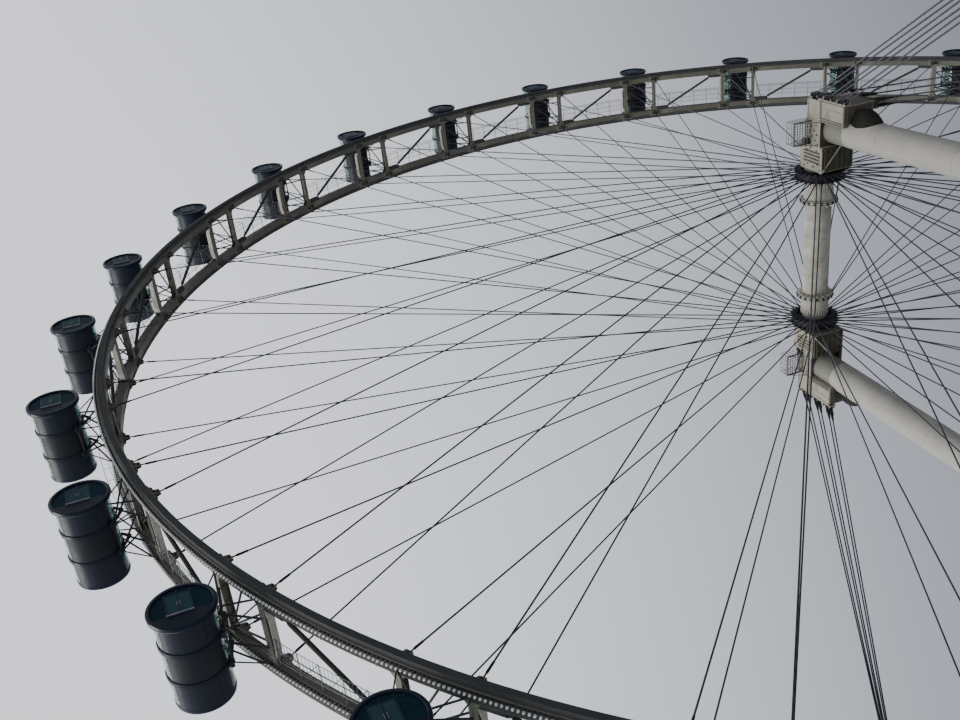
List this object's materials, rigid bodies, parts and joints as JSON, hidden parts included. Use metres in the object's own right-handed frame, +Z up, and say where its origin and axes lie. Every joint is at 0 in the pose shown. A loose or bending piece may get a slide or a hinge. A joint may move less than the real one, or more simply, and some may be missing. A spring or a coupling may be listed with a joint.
{
  "type": "ferris wheel, 1:10 scale model",
  "caption": "Large cable-spoked observation wheel on two slanted legs with guy stays; drum cabins ride outside the rim and stay level as it turns. 1:10 model.",
  "frame": {"origin": "on the ground, straight below the hub's centre", "axes": "+Z up; +Y along the axle, the pictured side of the wheel at -Y; X in the plane of the wheel"},
  "size_m": [15.0062, 11.226, 16.5067],
  "materials": {
    "rim_paint": "weathered satin paint",
    "cabin_shell": "dark gloss panels with glass",
    "cable_steel": "dark coated cable",
    "shaft_steel": "machined",
    "hub_paint": "satin paint",
    "housing_paint": "satin paint",
    "leg_paint": "weathered off-white paint"
  },
  "bodies": {
    "structure": {"spindle": "shaft_steel", "near_bearing_housing": "housing_paint", "near_leg": "leg_paint", "near_platform": "housing_paint", "near_left_stays": "cable_steel", "near_right_stays": "cable_steel", "far_bearing_housing": "housing_paint", "far_leg": "leg_paint", "far_platform": "housing_paint", "far_left_stays": "cable_steel", "far_right_stays": "cable_steel"},
    "wheel": {"rim_section_1": "rim_paint", "rim_section_2": "rim_paint", "rim_section_3": "rim_paint", "rim_section_4": "rim_paint", "rim_section_5": "rim_paint", "rim_section_6": "rim_paint", "rim_section_7": "rim_paint", "rim_section_8": "rim_paint", "rim_section_9": "rim_paint", "rim_section_10": "rim_paint", "rim_section_11": "rim_paint", "rim_section_12": "rim_paint", "rim_section_13": "rim_paint", "rim_section_14": "rim_paint", "hub": "hub_paint", "near_spokes": "cable_steel", "far_spokes": "cable_steel"},
    "level_cabin_01": {"cabin_01": "cabin_shell"},
    "level_cabin_02": {"cabin_02": "cabin_shell"},
    "level_cabin_03": {"cabin_03": "cabin_shell"},
    "level_cabin_04": {"cabin_04": "cabin_shell"},
    "level_cabin_05": {"cabin_05": "cabin_shell"},
    "level_cabin_06": {"cabin_06": "cabin_shell"},
    "level_cabin_07": {"cabin_07": "cabin_shell"},
    "level_cabin_08": {"cabin_08": "cabin_shell"},
    "level_cabin_09": {"cabin_09": "cabin_shell"},
    "level_cabin_10": {"cabin_10": "cabin_shell"},
    "level_cabin_11": {"cabin_11": "cabin_shell"},
    "level_cabin_12": {"cabin_12": "cabin_shell"},
    "level_cabin_13": {"cabin_13": "cabin_shell"},
    "level_cabin_14": {"cabin_14": "cabin_shell"},
    "level_cabin_15": {"cabin_15": "cabin_shell"},
    "level_cabin_16": {"cabin_16": "cabin_shell"},
    "level_cabin_17": {"cabin_17": "cabin_shell"},
    "level_cabin_18": {"cabin_18": "cabin_shell"},
    "level_cabin_19": {"cabin_19": "cabin_shell"},
    "level_cabin_20": {"cabin_20": "cabin_shell"},
    "level_cabin_21": {"cabin_21": "cabin_shell"},
    "level_cabin_22": {"cabin_22": "cabin_shell"},
    "level_cabin_23": {"cabin_23": "cabin_shell"},
    "level_cabin_24": {"cabin_24": "cabin_shell"},
    "level_cabin_25": {"cabin_25": "cabin_shell"},
    "level_cabin_26": {"cabin_26": "cabin_shell"},
    "level_cabin_27": {"cabin_27": "cabin_shell"},
    "level_cabin_28": {"cabin_28": "cabin_shell"}
  },
  "joints": [
    {"name": "wheel_spin", "type": "hinge", "parent": "structure", "child": "wheel", "pos_m": [0, 0, 9], "axis": [0, 1, 0], "continuous": true},
    {"name": "cabin_01_level", "type": "hinge", "parent": "wheel", "child": "level_cabin_01", "pos_m": [6.66888, 0, 11.96918], "axis": [0, 1, 0], "continuous": true},
    {"name": "cabin_02_level", "type": "hinge", "parent": "wheel", "child": "level_cabin_02", "pos_m": [5.84097, 0, 13.3787], "axis": [0, 1, 0], "continuous": true},
    {"name": "cabin_03_level", "type": "hinge", "parent": "wheel", "child": "level_cabin_03", "pos_m": [4.72018, 0, 14.56866], "axis": [0, 1, 0], "continuous": true},
    {"name": "cabin_04_level", "type": "hinge", "parent": "wheel", "child": "level_cabin_04", "pos_m": [3.36269, 0, 15.47938], "axis": [0, 1, 0], "continuous": true},
    {"name": "cabin_05_level", "type": "hinge", "parent": "wheel", "child": "level_cabin_05", "pos_m": [1.83658, 0, 16.06519], "axis": [0, 1, 0], "continuous": true},
    {"name": "cabin_06_level", "type": "hinge", "parent": "wheel", "child": "level_cabin_06", "pos_m": [0.21838, 0, 16.29673], "axis": [0, 1, 0], "continuous": true},
    {"name": "cabin_07_level", "type": "hinge", "parent": "wheel", "child": "level_cabin_07", "pos_m": [-1.41077, 0, 16.16238], "axis": [0, 1, 0], "continuous": true},
    {"name": "cabin_08_level", "type": "hinge", "parent": "wheel", "child": "level_cabin_08", "pos_m": [-2.96918, 0, 15.66888], "axis": [0, 1, 0], "continuous": true},
    {"name": "cabin_09_level", "type": "hinge", "parent": "wheel", "child": "level_cabin_09", "pos_m": [-4.3787, 0, 14.84097], "axis": [0, 1, 0], "continuous": true},
    {"name": "cabin_10_level", "type": "hinge", "parent": "wheel", "child": "level_cabin_10", "pos_m": [-5.56866, 0, 13.72018], "axis": [0, 1, 0], "continuous": true},
    {"name": "cabin_11_level", "type": "hinge", "parent": "wheel", "child": "level_cabin_11", "pos_m": [-6.47938, 0, 12.36269], "axis": [0, 1, 0], "continuous": true},
    {"name": "cabin_12_level", "type": "hinge", "parent": "wheel", "child": "level_cabin_12", "pos_m": [-7.06519, 0, 10.83658], "axis": [0, 1, 0], "continuous": true},
    {"name": "cabin_13_level", "type": "hinge", "parent": "wheel", "child": "level_cabin_13", "pos_m": [-7.29673, 0, 9.21838], "axis": [0, 1, 0], "continuous": true},
    {"name": "cabin_14_level", "type": "hinge", "parent": "wheel", "child": "level_cabin_14", "pos_m": [-7.16238, 0, 7.58923], "axis": [0, 1, 0], "continuous": true},
    {"name": "cabin_15_level", "type": "hinge", "parent": "wheel", "child": "level_cabin_15", "pos_m": [-6.66888, 0, 6.03082], "axis": [0, 1, 0], "continuous": true},
    {"name": "cabin_16_level", "type": "hinge", "parent": "wheel", "child": "level_cabin_16", "pos_m": [-5.84097, 0, 4.6213], "axis": [0, 1, 0], "continuous": true},
    {"name": "cabin_17_level", "type": "hinge", "parent": "wheel", "child": "level_cabin_17", "pos_m": [-4.72018, 0, 3.43134], "axis": [0, 1, 0], "continuous": true},
    {"name": "cabin_18_level", "type": "hinge", "parent": "wheel", "child": "level_cabin_18", "pos_m": [-3.36269, 0, 2.52062], "axis": [0, 1, 0], "continuous": true},
    {"name": "cabin_19_level", "type": "hinge", "parent": "wheel", "child": "level_cabin_19", "pos_m": [-1.83658, 0, 1.93481], "axis": [0, 1, 0], "continuous": true},
    {"name": "cabin_20_level", "type": "hinge", "parent": "wheel", "child": "level_cabin_20", "pos_m": [-0.21838, 0, 1.70327], "axis": [0, 1, 0], "continuous": true},
    {"name": "cabin_21_level", "type": "hinge", "parent": "wheel", "child": "level_cabin_21", "pos_m": [1.41077, 0, 1.83762], "axis": [0, 1, 0], "continuous": true},
    {"name": "cabin_22_level", "type": "hinge", "parent": "wheel", "child": "level_cabin_22", "pos_m": [2.96918, 0, 2.33112], "axis": [0, 1, 0], "continuous": true},
    {"name": "cabin_23_level", "type": "hinge", "parent": "wheel", "child": "level_cabin_23", "pos_m": [4.3787, 0, 3.15903], "axis": [0, 1, 0], "continuous": true},
    {"name": "cabin_24_level", "type": "hinge", "parent": "wheel", "child": "level_cabin_24", "pos_m": [5.56866, 0, 4.27982], "axis": [0, 1, 0], "continuous": true},
    {"name": "cabin_25_level", "type": "hinge", "parent": "wheel", "child": "level_cabin_25", "pos_m": [6.47938, 0, 5.63731], "axis": [0, 1, 0], "continuous": true},
    {"name": "cabin_26_level", "type": "hinge", "parent": "wheel", "child": "level_cabin_26", "pos_m": [7.06519, 0, 7.16342], "axis": [0, 1, 0], "continuous": true},
    {"name": "cabin_27_level", "type": "hinge", "parent": "wheel", "child": "level_cabin_27", "pos_m": [7.29673, 0, 8.78162], "axis": [0, 1, 0], "continuous": true},
    {"name": "cabin_28_level", "type": "hinge", "parent": "wheel", "child": "level_cabin_28", "pos_m": [7.16238, 0, 10.41077], "axis": [0, 1, 0], "continuous": true}
  ],
  "couplings": [
    {"joint": "cabin_01_level", "follows": "wheel_spin", "ratio": -1},
    {"joint": "cabin_02_level", "follows": "wheel_spin", "ratio": -1},
    {"joint": "cabin_03_level", "follows": "wheel_spin", "ratio": -1},
    {"joint": "cabin_04_level", "follows": "wheel_spin", "ratio": -1},
    {"joint": "cabin_05_level", "follows": "wheel_spin", "ratio": -1},
    {"joint": "cabin_06_level", "follows": "wheel_spin", "ratio": -1},
    {"joint": "cabin_07_level", "follows": "wheel_spin", "ratio": -1},
    {"joint": "cabin_08_level", "follows": "wheel_spin", "ratio": -1},
    {"joint": "cabin_09_level", "follows": "wheel_spin", "ratio": -1},
    {"joint": "cabin_10_level", "follows": "wheel_spin", "ratio": -1},
    {"joint": "cabin_11_level", "follows": "wheel_spin", "ratio": -1},
    {"joint": "cabin_12_level", "follows": "wheel_spin", "ratio": -1},
    {"joint": "cabin_13_level", "follows": "wheel_spin", "ratio": -1},
    {"joint": "cabin_14_level", "follows": "wheel_spin", "ratio": -1},
    {"joint": "cabin_15_level", "follows": "wheel_spin", "ratio": -1},
    {"joint": "cabin_16_level", "follows": "wheel_spin", "ratio": -1},
    {"joint": "cabin_17_level", "follows": "wheel_spin", "ratio": -1},
    {"joint": "cabin_18_level", "follows": "wheel_spin", "ratio": -1},
    {"joint": "cabin_19_level", "follows": "wheel_spin", "ratio": -1},
    {"joint": "cabin_20_level", "follows": "wheel_spin", "ratio": -1},
    {"joint": "cabin_21_level", "follows": "wheel_spin", "ratio": -1},
    {"joint": "cabin_22_level", "follows": "wheel_spin", "ratio": -1},
    {"joint": "cabin_23_level", "follows": "wheel_spin", "ratio": -1},
    {"joint": "cabin_24_level", "follows": "wheel_spin", "ratio": -1},
    {"joint": "cabin_25_level", "follows": "wheel_spin", "ratio": -1},
    {"joint": "cabin_26_level", "follows": "wheel_spin", "ratio": -1},
    {"joint": "cabin_27_level", "follows": "wheel_spin", "ratio": -1},
    {"joint": "cabin_28_level", "follows": "wheel_spin", "ratio": -1}
  ]
}
